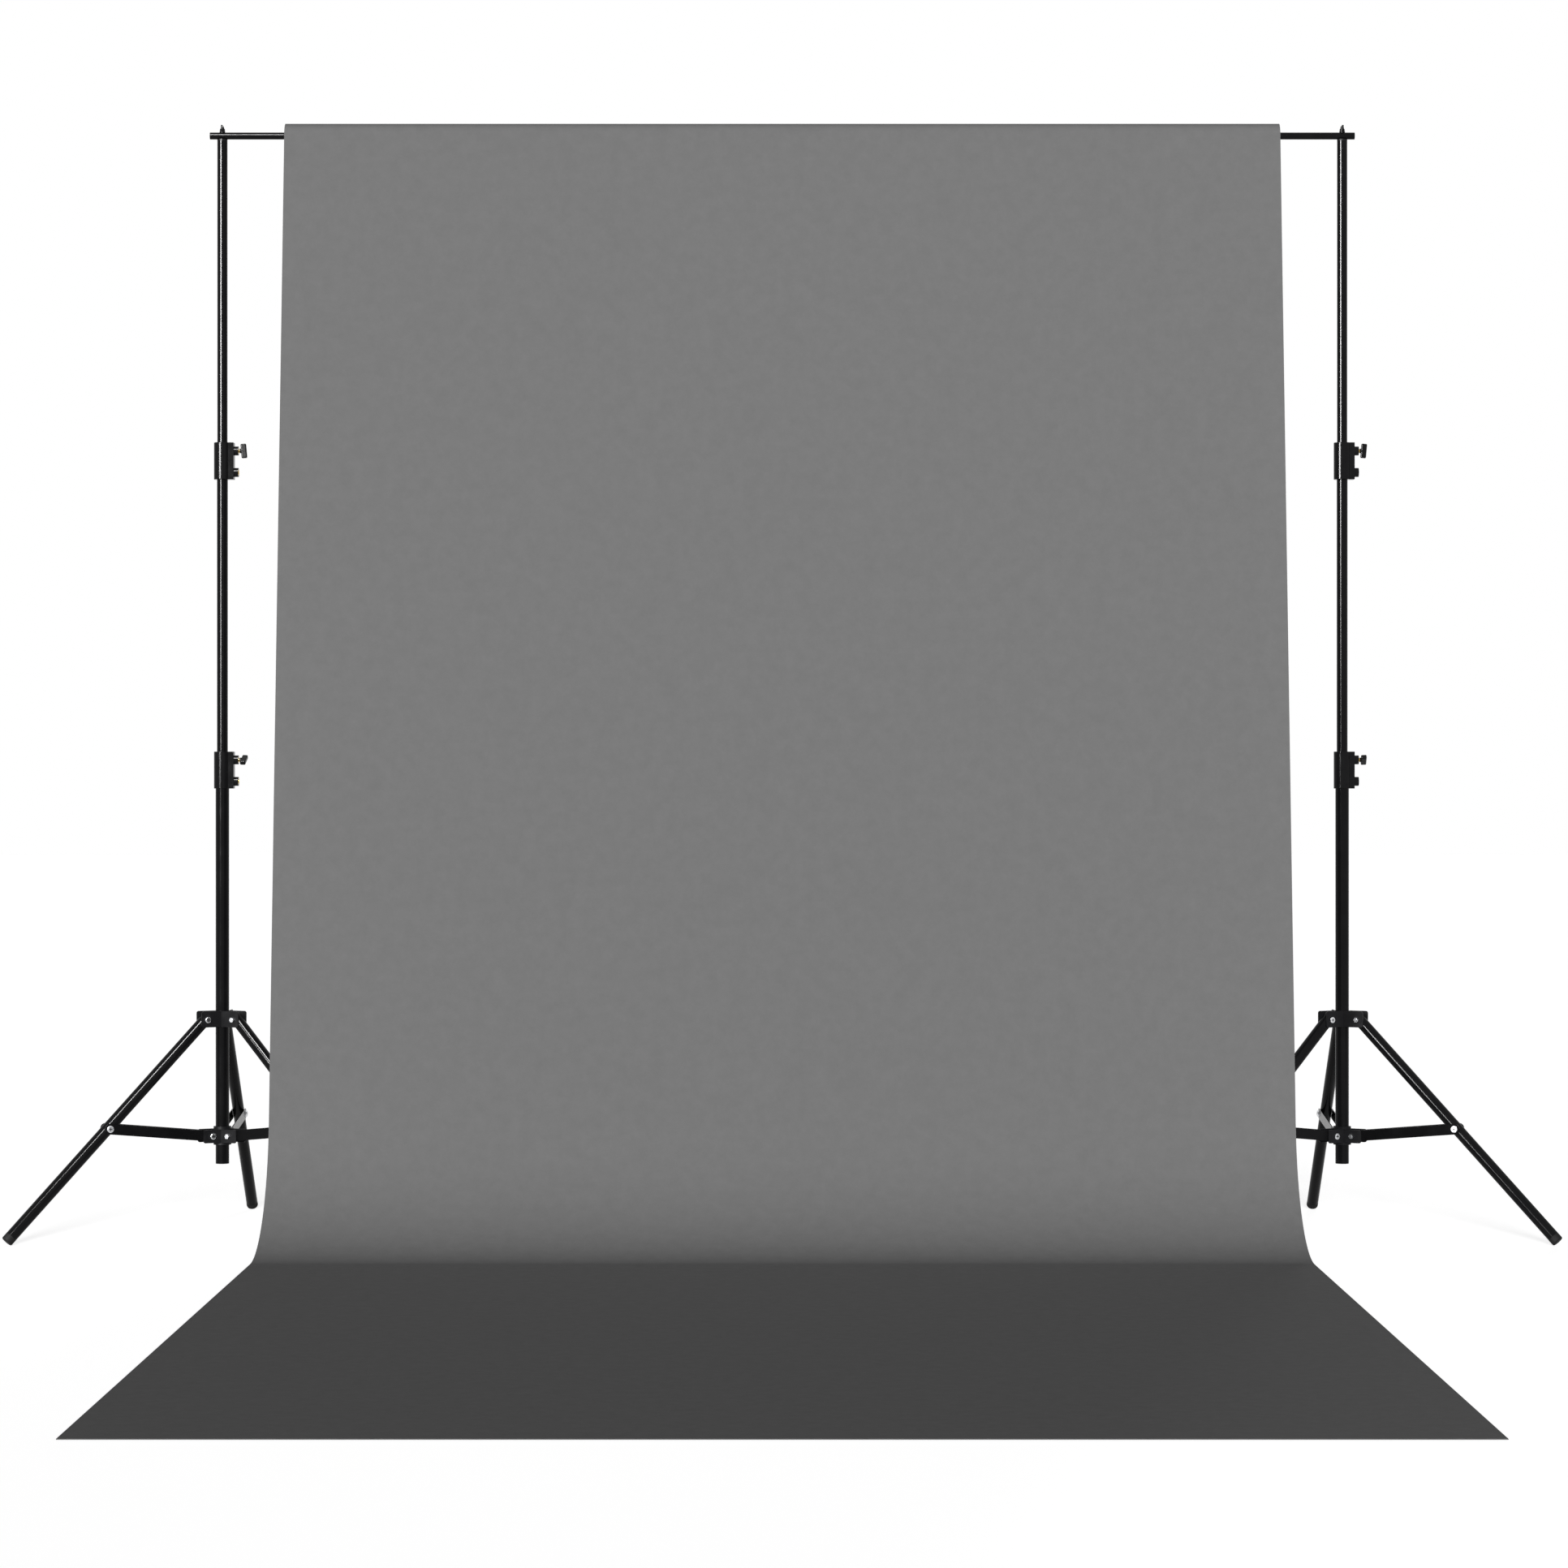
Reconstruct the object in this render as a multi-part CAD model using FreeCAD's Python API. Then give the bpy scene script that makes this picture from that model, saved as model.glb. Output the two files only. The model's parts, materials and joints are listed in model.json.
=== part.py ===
"""Background support system: two telescoping light stands, a crossbar and a backdrop on a roll.

Millimetres, +Z up. The subject stands on the -Y side, in front of the backdrop. The origin is on the
floor, under the middle of the whole kit. Each stand is built about its own pole axis with the floor at
z = 0, and each leg and brace is built in a plane of its own, x outwards from the pole, then turned.
"""

import FreeCAD
import Part
import math
import os

V = FreeCAD.Vector
X_AXIS = V(1, 0, 0)
Y_AXIS = V(0, 1, 0)
Z_AXIS = V(0, 0, 1)

# Overall sizes
pole_spacing = 2030.0
bar_height = 1988.0
front_reach = 2270.0
backdrop_width = 1800.0

# Clearances, each on the radius or between two faces
snug = 0.02
running = 0.05
sliding = 0.1
apart = 0.3

# Nested tubes of a stand
base_radius = 12.2
base_wall = 0.8
base_bottom = 125.5
guide_wall = 1.48
mid_wall = 0.5
mid_bottom = 640.0
top_wall = 0.8
top_bottom = 1185.0
guide_length = 25.0

# Clamp collars
lower_collar_top = 872.0
upper_collar_top = 1432.0
collar_height = 67.0
collar_wall = 3.0
collar_grip = 35.0
block_reach = 21.5
block_half_width = 9.5
boss_radius = 8.25
boss_length = 8.0
knob_boss_drop = 15.0
boss_pitch = 39.0
collar_edge = 0.8

# Knobs and collar screws
thread_radius = 3.0
screw_proud = 0.8
knob_gap = 4.5
knob_depth = 10.0
knob_span = 26.0
knob_width = 8.0
knob_round = 2.0
knob_stem_radius = 4.2
knob_tilt = 5.0
knob_turns = {
    "left_lower": 118.0,
    "left_upper": 0.0,
    "right_lower": 62.0,
    "right_upper": 180.0,
}

# Tripod
contact_radius = 402.0
leg_pivot_offset = 20.8
leg_pivot_height = 387.0
leg_radius = 10.75
leg_wall = 1.0
leg_overhang = 9.0
foot_band = 6.0
foot_round = 2.5
foot_spigot = 18.0
brace_pivot_offset = 11.8
brace_pivot_height = 176.5
brace_place = 265.0
strip_width = 19.0
strip_thickness = 1.6
leg_turns = {
    "left": {"outer": 210.0, "inner": 330.0, "rear": 90.0},
    "right": {"outer": 330.0, "inner": 210.0, "rear": 90.0},
}

# Hubs
hub_sleeve_wall = 1.6
hub_height = 29.0
hub_below_pivot = 13.5
hub_flange_reach = 45.0
flange_thickness = 1.8
flange_corner = 4.0
lower_sleeve_wall = 3.8
lower_sleeve_height = 33.0
lower_flange_height = 24.0
lower_flange_reach = 42.0

# Bolts and nuts
bolt_radius = 2.5
bolt_head_radius = 5.5
bolt_head_height = 3.2
bolt_end = 1.2
nut_flats = 8.0
nut_height = 4.0
brace_head_radius = 6.2

# Crossbar, studs and wing nuts
bar_radius = 6.35
bar_wall = 1.0
bar_overhang = 22.25
stud_radius = 3.175
stud_plug_length = 20.0
stud_cap = 2.5
stud_proud = 9.0
wing_base_radius = 5.2
wing_neck_radius = 4.3
wing_base_height = 6.5
wing_span = 24.0
wing_height = 12.5
wing_thickness = 2.4
wing_root = 2.0
wing_round = 3.5

# Roll and backdrop
core_bore_radius = 7.75
core_radius = 10.0
core_inset = 2.0
roll_radius = 22.5
sheet_thickness = 1.2
sheet_lean = 6.9
sweep_radius = 250.0

# Places that follow from the sizes above
mid_radius = base_radius - base_wall - sliding - guide_wall - snug
top_radius = mid_radius - mid_wall - sliding
collar_radius = base_radius + collar_wall
base_top = lower_collar_top - collar_grip
mid_top = upper_collar_top - collar_grip
bar_bottom = bar_height - bar_radius
bar_top = bar_height + bar_radius
top_tube_top = bar_bottom - stud_cap
leg_pivot_radius = base_radius + leg_pivot_offset
brace_pivot_radius = base_radius + brace_pivot_offset
leg_angle = math.atan2(contact_radius - leg_pivot_radius, leg_pivot_height - leg_radius)
leg_direction = V(math.sin(leg_angle), 0, -math.cos(leg_angle))
leg_pivot = V(leg_pivot_radius, 0, leg_pivot_height)
foot_centre = V(contact_radius, 0, leg_radius)
brace_pivot = V(brace_pivot_radius, 0, brace_pivot_height)
brace_end = leg_pivot + leg_direction * brace_place
fork_inner = leg_radius + apart
strip_outer = fork_inner + strip_thickness
lower_fork_inner = strip_outer + apart
foot_rim = leg_radius - foot_round
foot_end_height = foot_rim * math.sin(leg_angle) + foot_round * (1 - math.cos(leg_angle))
foot_end = foot_centre + leg_direction * ((leg_radius - foot_end_height) / math.cos(leg_angle))
foot_rim_centre = foot_end - leg_direction * foot_round
rear_reach = foot_rim_centre.x + foot_rim * math.cos(leg_angle) + foot_round
bar_y = (front_reach - rear_reach) / 2
roll_height = bar_height - (core_bore_radius - bar_radius - apart)


def save(node, *solids):
    """Write one node, either a single solid or a group of separate ones."""
    shape = solids[0] if len(solids) == 1 else Part.makeCompound(list(solids))
    shape.exportStep(f"parts/{node}.step")


def rod(radius, start, end):
    """A round bar between two points."""
    return Part.makeCylinder(radius, (end - start).Length, start, end - start)


def upright(radius, bottom, top):
    """A round bar standing on the pole axis."""
    return rod(radius, V(0, 0, bottom), V(0, 0, top))


def pipe(outer, inner, bottom, top):
    """A tube standing on the pole axis."""
    return upright(outer, bottom, top).cut(upright(inner, bottom, top))


def block(x0, x1, y0, y1, z0, z1):
    """A box between six faces."""
    return Part.makeBox(x1 - x0, y1 - y0, z1 - z0, V(x0, y0, z0))


def fuse(shapes):
    """Join touching or crossing shapes into one clean solid."""
    return shapes[0].fuse(shapes[1:]).removeSplitter()


def turned(shape, angle, axis=Z_AXIS, centre=V(0, 0, 0)):
    """A copy turned about an axis, in degrees."""
    copy = shape.copy()
    copy.rotate(centre, axis, angle)
    return copy


def edges_along(shape, axis, test):
    """The straight edges that run along an axis and pass a test on their middle."""
    chosen = []
    for edge in shape.Edges:
        if edge.Curve.TypeId != "Part::GeomLine":
            continue
        along = (edge.Vertexes[-1].Point - edge.Vertexes[0].Point).normalize()
        if abs(abs(along.dot(axis)) - 1) < 1e-6 and test(edge.CenterOfMass):
            chosen.append(edge)
    return chosen


# Stand tubes


def base_tube():
    return pipe(base_radius, base_radius - base_wall, base_bottom, base_top)


def mid_tube():
    return pipe(mid_radius, mid_radius - mid_wall, mid_bottom, mid_top)


def mid_guide():
    """The sleeve that centres the foot of the mid tube in the base tube."""
    outer = base_radius - base_wall - sliding
    return pipe(outer, mid_radius + snug, mid_bottom, mid_bottom + guide_length)


def top_tube():
    return pipe(top_radius, top_radius - top_wall, top_bottom, top_tube_top)


def stud():
    """A plug in the top tube, a cap on its rim and the thread that the crossbar drops over."""
    plug = upright(top_radius - top_wall - snug, top_tube_top - stud_plug_length, top_tube_top)
    cap = upright(top_radius, top_tube_top, bar_bottom)
    thread = upright(stud_radius, bar_bottom, bar_top + stud_proud)
    return fuse([plug, cap, thread])


def wing_nut():
    """A coned nut with two wings that lie front to back."""
    base = Part.makeCone(wing_base_radius, wing_neck_radius, wing_base_height, V(0, 0, bar_top))
    half_span, half_thick = wing_span / 2, wing_thickness / 2
    wings = block(-half_thick, half_thick, -half_span, half_span, bar_top + wing_root, bar_top + wing_height)
    outer_edges = edges_along(wings, X_AXIS, lambda p: abs(p.y) > half_span - 0.1)
    wings = wings.makeFillet(wing_round, outer_edges)
    gap = upright(wing_neck_radius - 0.4, bar_top + wing_base_height, bar_top + wing_height + 1)
    bore = upright(stud_radius + running, bar_top - 1, bar_top + wing_height + 1)
    return fuse([base, wings.cut(gap)]).cut(bore)


# Collars


def collar(top, outer_tube_radius, inner_tube_radius):
    """A sleeve with a block and two bosses. It grips one tube below and guides a thinner one above."""
    bottom = top - collar_height
    sleeve = upright(collar_radius, bottom, top)
    side = block(0, block_reach, -block_half_width, block_half_width, bottom, top)
    body = fuse([sleeve, side])
    rims = [e for e in body.Edges if abs(e.BoundBox.ZLength) < 1e-6]
    body = body.makeFillet(collar_edge, rims)
    shapes = [body]
    for height in boss_heights(top):
        face = V(block_reach - 1, 0, height)
        shapes.append(rod(boss_radius, face, face + X_AXIS * (boss_length + 1)))
    body = fuse(shapes)
    body = body.cut(upright(outer_tube_radius + snug, bottom - 1, top - collar_grip))
    body = body.cut(upright(inner_tube_radius + sliding, bottom - 1, top + 1))
    for height, fit in zip(boss_heights(top), (running, snug)):
        body = body.cut(rod(thread_radius + fit, V(0, 0, height), V(block_reach + boss_length + 1, 0, height)))
    return body


def boss_heights(top):
    """The knob's boss, then the screw's."""
    knob = top - knob_boss_drop
    return knob, knob - boss_pitch


def collar_screw(top, tube_radius):
    """The brass screw that holds the collar to the tube under it."""
    height = boss_heights(top)[1]
    tip = V(tube_radius + snug, 0, height)
    return rod(thread_radius, tip, V(block_reach + boss_length + screw_proud, 0, height))


def knob(top, tube_radius, turn):
    """A T-handle on a threaded shank, whose tip presses on the sliding tube."""
    height = boss_heights(top)[0]
    handle_x = block_reach + boss_length + knob_gap
    middle = V(handle_x + knob_depth / 2, 0, height)
    half_span, half_width = knob_span / 2, knob_width / 2
    handle = block(
        handle_x, handle_x + knob_depth, -half_width, half_width, height - half_span, height + half_span
    )
    handle = handle.makeFillet(knob_round, handle.Edges)
    handle = turned(handle, -knob_tilt, Y_AXIS, middle)
    stem = rod(knob_stem_radius, middle - X_AXIS * (knob_depth / 2 + knob_gap / 2), middle)
    shank = rod(thread_radius, V(tube_radius + apart, 0, height), middle)
    return turned(fuse([handle, stem, shank]), turn, X_AXIS, middle)


# Tripod


def bolt_and_nut(centre, half_grip, head_radius=bolt_head_radius):
    """A bolt along y with its head on the +y side, and its nut."""
    head_face = centre + Y_AXIS * half_grip
    nut_face = centre - Y_AXIS * half_grip
    nut_end = nut_face - Y_AXIS * nut_height
    shank = rod(bolt_radius, nut_end - Y_AXIS * bolt_end, head_face)
    return [fuse([shank, bolt_head(head_face, head_radius, Y_AXIS)]), nut(nut_face, nut_height)]


def bolt_head(face, radius, outward):
    """A low round head with a softened rim."""
    head = rod(radius, face, face + outward * bolt_head_height)
    rim = [e for e in head.Edges if (e.CenterOfMass - face).dot(outward) > bolt_head_height - 0.1]
    return head.makeFillet(bolt_head_height * 0.45, rim)


def nut(face, height):
    """A hexagon nut that reaches from a face towards -y."""
    corner = nut_flats / 2 / math.cos(math.radians(30))
    points = []
    for i in range(7):
        angle = math.radians(60 * i)
        points.append(face + V(corner * math.cos(angle), 0, corner * math.sin(angle)))
    hexagon = Part.Face(Part.makePolygon(points))
    bore = rod(bolt_radius + snug, face + Y_AXIS, face - Y_AXIS * (height + 1))
    return hexagon.extrude(-Y_AXIS * height).cut(bore)


def leg():
    """A leg tube with its cross hole at the upper hub, in the leg's own plane."""
    start = leg_pivot - leg_direction * leg_overhang
    end = foot_centre - leg_direction * foot_band
    tube = rod(leg_radius, start, end).cut(rod(leg_radius - leg_wall, start, end))
    hole = rod(bolt_radius + running, leg_pivot - Y_AXIS * leg_radius * 2, leg_pivot + Y_AXIS * leg_radius * 2)
    return tube.cut(hole)


def foot():
    """A flat-ended rubber plug in the end of a leg, whose rounded rim stands on the floor."""
    band_top = foot_centre - leg_direction * foot_band
    band = rod(leg_radius, band_top, foot_end)
    band = band.makeFillet(foot_round, [e for e in band.Edges if (e.CenterOfMass - foot_end).Length < 0.1])
    spigot = rod(leg_radius - leg_wall - snug, band_top - leg_direction * foot_spigot, band_top)
    return fuse([band, spigot])


def brace_strips():
    """Two flat strips with round ends, one each side of the leg."""
    along = (brace_end - brace_pivot).normalize()
    across = V(-along.z, 0, along.x) * (strip_width / 2)
    corners = [brace_pivot + across, brace_end + across, brace_end - across, brace_pivot - across]
    outline = Part.Face(Part.makePolygon(corners + corners[:1]))
    strips = []
    for inner in (fork_inner, -strip_outer):
        thick = Y_AXIS * strip_thickness
        shapes = [outline.extrude(thick)]
        shapes += [rod(strip_width / 2, end, end + thick) for end in (brace_pivot, brace_end)]
        strip = fuse(shapes)
        strip.translate(Y_AXIS * inner)
        for end, fit in ((brace_pivot, running), (brace_end, snug)):
            side = Y_AXIS * strip_outer * 2
            strip = strip.cut(rod(bolt_radius + fit, end - side, end + side))
        strips.append(strip)
    return strips


def brace_screw():
    """The head and the nut at the leg end of a brace. Each stops at its strip's inner face."""
    head_face = brace_end + Y_AXIS * strip_outer
    head = fuse(
        [rod(bolt_radius, brace_end + Y_AXIS * fork_inner, head_face), bolt_head(head_face, brace_head_radius, Y_AXIS)]
    )
    far_face = brace_end - Y_AXIS * strip_outer
    far = fuse(
        [rod(bolt_radius, far_face, brace_end - Y_AXIS * fork_inner), bolt_head(far_face, brace_head_radius, -Y_AXIS)]
    )
    return [head, far]


def flanges(inner, reach, bottom, top, pivot):
    """The two plates of one fork, each side of a leg's plane, with their outer corners rounded."""
    plates = []
    for y in (inner, -inner - flange_thickness):
        plate = block(0, reach, y, y + flange_thickness, bottom, top)
        plate = plate.makeFillet(flange_corner, edges_along(plate, Y_AXIS, lambda p: p.x > reach - 0.1))
        plates.append(plate.cut(rod(bolt_radius + snug, pivot + Y_AXIS * (y - 1), pivot + Y_AXIS * (y + 5))))
    return plates


def hub(sleeve_radius, bore_radius, sleeve_ends, forks):
    """A sleeve round the base tube with three forks."""
    shapes = [upright(sleeve_radius, *sleeve_ends)]
    for angle in (90, 210, 330):
        shapes += [turned(plate, angle) for plate in forks]
    return fuse(shapes).cut(upright(bore_radius, sleeve_ends[0] - 1, sleeve_ends[1] + 1))


def upper_hub():
    """The hub that slides on the base tube and carries the legs."""
    bottom = leg_pivot_height - hub_below_pivot
    forks = flanges(fork_inner, hub_flange_reach, bottom, bottom + hub_height, leg_pivot)
    bore = base_radius + sliding
    return hub(bore + hub_sleeve_wall, bore, (bottom, bottom + hub_height), forks)


def lower_hub():
    """The hub that is fixed on the base tube and carries the braces."""
    half = lower_sleeve_height / 2
    half_flange = lower_flange_height / 2
    z = brace_pivot_height
    forks = flanges(lower_fork_inner, lower_flange_reach, z - half_flange, z + half_flange, brace_pivot)
    bore = base_radius + snug
    return hub(bore + lower_sleeve_wall, bore, (z - half, z + half), forks)


# Crossbar, roll and backdrop


def crossbar():
    """One tube across both stands, with a cross hole for each stud. Built about the bar's own axis."""
    half = pole_spacing / 2 + bar_overhang
    tube = rod(bar_radius, X_AXIS * -half, X_AXIS * half)
    tube = tube.cut(rod(bar_radius - bar_wall, X_AXIS * -half, X_AXIS * half))
    for x in (-pole_spacing / 2, pole_spacing / 2):
        tube = tube.cut(rod(stud_radius + running, V(x, 0, -bar_radius * 2), V(x, 0, bar_radius * 2)))
    return tube


def sleeve_along_x(outer, inner, length):
    """A tube along x, about the origin."""
    ends = X_AXIS * (-length / 2), X_AXIS * (length / 2)
    return rod(outer, *ends).cut(rod(inner, *ends))


def backdrop_sheet():
    """A thin sheet that leaves the front of the roll, leans forward and sweeps round onto the floor.

    The section is drawn with y forwards of the bar, z up, and swept across the width.
    """
    lean = math.radians(sheet_lean)
    half = sheet_thickness / 2
    down = V(0, math.sin(lean), -math.cos(lean))
    out = V(0, math.cos(lean), math.sin(lean))
    top = V(0, 0, roll_height) + out * (roll_radius + apart + half)
    floor_line = (top.z - half) / math.cos(lean)
    corner = top + down * floor_line
    tangent = sweep_radius * math.tan((math.pi / 2 - lean) / 2)
    centre = V(0, corner.y + tangent, half + sweep_radius)

    def side(offset):
        """Lean, sweep and floor of one face, at an offset from the middle of the sheet."""
        radius = sweep_radius - offset
        start, turn, end = top + out * offset, centre - out * radius, centre - Z_AXIS * radius
        bisector = (out + Z_AXIS).normalize()
        sweep = Part.Arc(turn, centre - bisector * radius, end).toShape()
        tail = V(0, front_reach, end.z)
        return [Part.makeLine(start, turn), sweep, Part.makeLine(end, tail)], start, tail

    upper, upper_start, upper_tail = side(half)
    under, under_start, under_tail = side(-half)
    ends = [Part.makeLine(upper_start, under_start), Part.makeLine(upper_tail, under_tail)]
    section = Part.Face(Part.Wire(Part.sortEdges(upper + under + ends)[0]))
    sheet = section.extrude(X_AXIS * backdrop_width)
    sheet.translate(X_AXIS * (-backdrop_width / 2))
    return turned(sheet, 180)


def build_stand(side, x):
    """All the pieces of one stand, set on the floor at its place."""

    def place(name, *solids):
        for solid in solids:
            solid.translate(V(x, bar_y, 0))
        save(f"{side}_{name}", *solids)

    place("base_tube", base_tube())
    place("mid_tube", mid_tube())
    place("mid_guide", mid_guide())
    place("top_tube", top_tube())
    place("stud", stud())
    place("wing_nut", wing_nut())
    place("upper_hub", upper_hub())
    place("lower_hub", lower_hub())
    for level, top, outer, inner in (
        ("lower", lower_collar_top, base_radius, mid_radius),
        ("upper", upper_collar_top, mid_radius, top_radius),
    ):
        place(f"{level}_collar", collar(top, outer, inner))
        place(f"{level}_collar_screw", collar_screw(top, outer))
        place(f"{level}_knob", knob(top, inner, knob_turns[f"{side}_{level}"]))
    leg_bolts, brace_bolts = [], []
    for name, turn in leg_turns[side].items():
        place(f"leg_{name}", turned(leg(), turn))
        place(f"foot_{name}", turned(foot(), turn))
        place(f"brace_{name}", *[turned(s, turn) for s in brace_strips()])
        place(f"brace_screw_{name}", *[turned(s, turn) for s in brace_screw()])
        leg_bolts += [turned(s, turn) for s in bolt_and_nut(leg_pivot, fork_inner + flange_thickness)]
        brace_bolts += [turned(s, turn) for s in bolt_and_nut(brace_pivot, lower_fork_inner + flange_thickness)]
    place("leg_bolts", *leg_bolts)
    place("brace_bolts", *brace_bolts)


def main():
    os.makedirs("parts", exist_ok=True)
    build_stand("left", -pole_spacing / 2)
    build_stand("right", pole_spacing / 2)
    between = {
        "crossbar": (crossbar(), bar_height),
        "roll_core": (sleeve_along_x(core_radius, core_bore_radius, backdrop_width - 2 * core_inset), roll_height),
        "roll_layers": (sleeve_along_x(roll_radius, core_radius + snug, backdrop_width), roll_height),
        "backdrop_sheet": (backdrop_sheet(), 0),
    }
    for node, (shape, height) in between.items():
        shape.translate(V(0, bar_y, height))
        save(node, shape)


main()
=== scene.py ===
"""Looks for a backdrop kit: two folding light stands, a crossbar and a grey backdrop on a roll.

Metres, +Z up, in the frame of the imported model. The subject stands on the -Y side.
"""

import bpy
import bmesh
import json
import math
from mathutils import Matrix, Vector


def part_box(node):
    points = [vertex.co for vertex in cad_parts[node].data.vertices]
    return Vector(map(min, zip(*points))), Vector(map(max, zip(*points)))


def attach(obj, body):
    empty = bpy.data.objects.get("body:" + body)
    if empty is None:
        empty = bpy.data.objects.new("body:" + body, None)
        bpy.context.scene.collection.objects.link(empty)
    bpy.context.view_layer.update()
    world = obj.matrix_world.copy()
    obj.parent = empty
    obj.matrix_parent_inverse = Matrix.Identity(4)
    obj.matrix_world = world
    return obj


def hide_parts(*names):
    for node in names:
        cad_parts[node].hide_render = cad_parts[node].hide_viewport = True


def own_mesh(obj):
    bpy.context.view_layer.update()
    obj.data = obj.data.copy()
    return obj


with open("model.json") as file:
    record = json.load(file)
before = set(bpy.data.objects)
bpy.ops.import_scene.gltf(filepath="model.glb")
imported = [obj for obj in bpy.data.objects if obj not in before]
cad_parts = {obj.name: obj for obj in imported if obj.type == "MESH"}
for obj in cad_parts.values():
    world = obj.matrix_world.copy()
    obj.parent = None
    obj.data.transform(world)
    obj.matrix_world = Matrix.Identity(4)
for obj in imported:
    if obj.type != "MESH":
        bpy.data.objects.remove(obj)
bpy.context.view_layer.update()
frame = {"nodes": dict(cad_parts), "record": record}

bl_info = {
    "name": "Backdrop Kit",
    "version": (1, 0, 0),
    "blender": (4, 5, 0),
    "location": "3D View > Sidebar > Backdrop Kit",
    "description": "Builds the cloth, threads, finishes and studio of a backdrop kit",
    "category": "Object",
}

SIDES = ("left", "right")
JOINTS = {joint["name"]: joint for joint in frame["record"]["behaviour"]["joints"]}


def middle(node):
    """The middle of a node's box."""
    low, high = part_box(node)
    return (low + high) / 2


BAR = middle("crossbar")
ROLL = middle("roll_core")
ROLL_RADIUS = (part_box("roll_layers")[1].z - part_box("roll_layers")[0].z) / 2
CORE_RADIUS = (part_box("roll_core")[1].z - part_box("roll_core")[0].z) / 2
SHEET_LOW, SHEET_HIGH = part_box("backdrop_sheet")


# Fixed sizes, in metres unless a comment says otherwise

SHEET_COLUMNS, WINDING_COLUMNS, LAP_COLUMNS = 60, 4, 12  # faces across the cloth
SHARP_EDGE = math.radians(40)
WAVES = ((1.0, 5.1, 0.8), (0.6, 11.3, -1.7))  # share of the ripple, then radians a metre along x and z
FLAT_BELOW = 0.3
FADE_LOW, FADE_HIGH = 0.5, 0.3  # heights over which the waves grow above the sweep and die out at the roll
FINE_STEPS, FINE_REACH = 3, 0.6  # how much finer the sweep is, and how far from its middle, as a share of it
WINDING_GAP = 0.0001
OUTER_ROOM, LAYER_PITCH, LAP_REST = 1.6, 1.04, 1.1  # in thicknesses of cloth
TURN_STEPS, LAP_STEPS = 40, 48  # faces round one turn of the winding, and along the lap
LAP_TURN = math.radians(215)
LAP_SETTLE = 2.2  # the lap lies on the winding after 1 / LAP_SETTLE of its length

THREAD_BORE = 0.0031
RIDGE = ((0.1, 1), (0.5, 0), (0.9, 1))  # share of the pitch, and how many depths below the crest
KNOB_THREAD_RUN, KNOB_THREAD_GAP = 0.0026, 0.0003
INSERT_BORE, INSERT_HEIGHT, INSERT_SINK = 0.0036, 0.0004, 0.0002
INSERT_EDGE, INSERT_BEVEL = 0.0002, 0.0003
WING_NUT_HUB = 0.0067  # height of the hub of a wing nut
# sink and rise of the dark prism that paints the shade in a bolt head's cross recess
RECESS_SHADE_DEPTH, RECESS_SHADE_RISE = 0.00025, 1.4  # the second is in depths
LEG_BOLT_FACE, BRACE_BOLT_FACE, SCREW_FACE = 0.01605, 0.01795, 0.01585  # from the middle of a leg

FLOOR_REACH, FLOOR_DROP = 40.0, 0.0004
FLOOR_COLOUR = (0.8, 0.8, 0.8, 1.0)
WHITE = (1.0, 1.0, 1.0, 1.0)
SUN_DISTANCE, SUN_WIDTH = 10, math.radians(12)
BACK_PLACE = (2.0, 10.0, 1.2)
AREA_LIGHTS = (  # name, watts, place, target, size
    ("strip_upper", 2500, (-3.6, -4.5, 2.75), (0, BAR.y, 2.4), (1.8, 1.7)),
    ("strip_lower", 520, (-3.6, -4.5, 1.42), (0, BAR.y, 1.4), (1.8, 0.95)),
    ("bar_light", 900, (-1.75, -3.5, 5.2), (-0.95, BAR.y, BAR.z), (1.2, 1.4)),
)
SENSOR_WIDTH = 36.0  # in millimetres
SHIFT_X, SHIFT_Y = 0.0011, 0.0008


# Sizes and colours


def length(name, description, default, low=0.0, high=10.0):
    """A size in metres that a user can change."""
    return bpy.props.FloatProperty(
        name=name, description=description, default=default, min=low, max=high, precision=4, unit="LENGTH"
    )


def colour(name, description, default):
    """A colour that a user can change."""
    return bpy.props.FloatVectorProperty(
        name=name, description=description, default=default, size=3, min=0.0, max=1.0, subtype="COLOR"
    )


class ClothSizes(bpy.types.PropertyGroup):
    thickness: length("Thickness", "Thickness of the backdrop cloth", 0.0012, 0.0002, 0.01)
    lean: bpy.props.FloatProperty(
        name="Lean",
        description="Forward lean of the hanging cloth",
        default=math.radians(6.9),
        subtype="ANGLE",
    )
    sweep: length("Sweep", "Radius of the curve onto the floor", 0.25, 0.05, 1.0)
    fold_height: length("Fold height", "Where the upper and lower stages of the stands share the cloth", 1.0)
    ripple: length("Ripple", "Depth of the slow waves in the cloth", 0.0006, 0.0, 0.01)
    step: length("Step", "Length of one face of the cloth", 0.03, 0.005, 0.1)
    lap_clearance: length("Lap clearance", "Gap between the hanging cloth and the roll", 0.0003, 0.0, 0.005)


class HardwareSizes(bpy.types.PropertyGroup):
    thread_pitch: length("Thread pitch", "Pitch of the screw threads", 0.0008, 0.0002, 0.003)
    thread_depth: length("Thread depth", "Depth of the screw threads", 0.0004, 0.0001, 0.002)
    knob_thread: length("Knob thread", "Outer radius of a knob's brass thread", 0.0034, 0.001, 0.01)
    boss_insert: length(
        "Boss insert", "Outer radius of the brass insert in a collar boss", 0.0052, 0.001, 0.01
    )
    stud_thread: length("Stud thread", "Outer radius of a stud's thread", 0.0034, 0.001, 0.01)
    # span and arm width of the painted shade in a bolt head's cross recess
    recess_shade_span: length("Recess span", "Width of the cross recess in a bolt head", 0.0062, 0.001, 0.02)
    recess_shade_width: length("Recess width", "Width of one arm of the cross recess", 0.0013, 0.0002, 0.005)


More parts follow.
